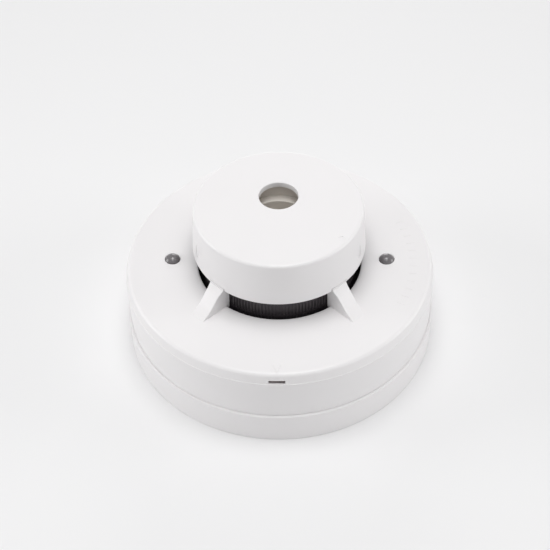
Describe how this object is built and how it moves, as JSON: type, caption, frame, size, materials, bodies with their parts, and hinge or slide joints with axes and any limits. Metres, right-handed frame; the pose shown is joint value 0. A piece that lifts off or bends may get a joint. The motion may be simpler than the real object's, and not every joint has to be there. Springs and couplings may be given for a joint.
{
  "type": "heat detector",
  "caption": "Round ceiling heat detector: shallow twist-on base, flat-topped head, raised thermistor cap on struts over a black screen, two domed indicator lenses.",
  "frame": {"origin": "middle of the base's flat mounting face", "axes": "+Z out of the ceiling towards the room, through the cap; -Y towards the side with the tool slot"},
  "size_m": [0.102, 0.102, 0.0523],
  "materials": {
    "shell": "fine satin texture",
    "black_plastic": "matt",
    "board": "solder resist",
    "contact_metal": "bright stamped strip",
    "screw_steel": "zinc plated",
    "tin_plate": "dull tin",
    "can_aluminium": "satin",
    "reed_glass": "clear green tint",
    "lens": "smoked, polished",
    "led_package": "moulded white",
    "carrier": "plain moulded",
    "bead_epoxy": "dipped",
    "optic_epoxy": "clear dark epoxy"
  },
  "bodies": {
    "base": {"base_contact_1": "contact_metal", "base_contact_2": "contact_metal", "base_contact_3": "contact_metal", "base_contact_4": "contact_metal", "mounting_base": "shell", "terminal_screw_1": "screw_steel", "terminal_screw_2": "screw_steel", "terminal_screw_3": "screw_steel", "terminal_screw_4": "screw_steel", "wire_clamp_1": "screw_steel", "wire_clamp_2": "screw_steel", "wire_clamp_3": "screw_steel", "wire_clamp_4": "screw_steel"},
    "head": {"buffer_capacitor": "can_aluminium", "chamber_base": "black_plastic", "chamber_cover": "black_plastic", "contact_blade_1": "contact_metal", "contact_blade_2": "contact_metal", "contact_blade_3": "contact_metal", "contact_blade_4": "contact_metal", "head_body": "shell", "head_cover": "shell", "insect_screen": "black_plastic", "ir_emitter": "optic_epoxy", "light_pipe_left": "lens", "light_pipe_right": "lens", "microcontroller": "black_plastic", "pcb": "board", "pcb_screw_1": "screw_steel", "pcb_screw_2": "screw_steel", "pcb_screw_3": "screw_steel", "photodiode": "optic_epoxy", "reed_switch": "reed_glass", "screening_can": "tin_plate", "sensor_cap": "shell", "status_led_left": "led_package", "status_led_right": "led_package", "thermistor": "bead_epoxy", "thermistor_carrier": "carrier"},
    "latch": {"lock_latch": "shell", "latch_spring": "screw_steel"}
  },
  "joints": [
    {"name": "head_twist", "type": "hinge", "parent": "base", "child": "head", "pos_m": [0, 0, 0], "axis": [0, 0, 1], "range_deg": [0, 15]},
    {"name": "latch_press", "type": "slide", "parent": "head", "child": "latch", "axis": [0, 1, 0], "range_m": [0, 0.0015], "stiffness_N_per_m": 300, "springref_m": -0.001, "deforming": ["latch_spring"]}
  ]
}
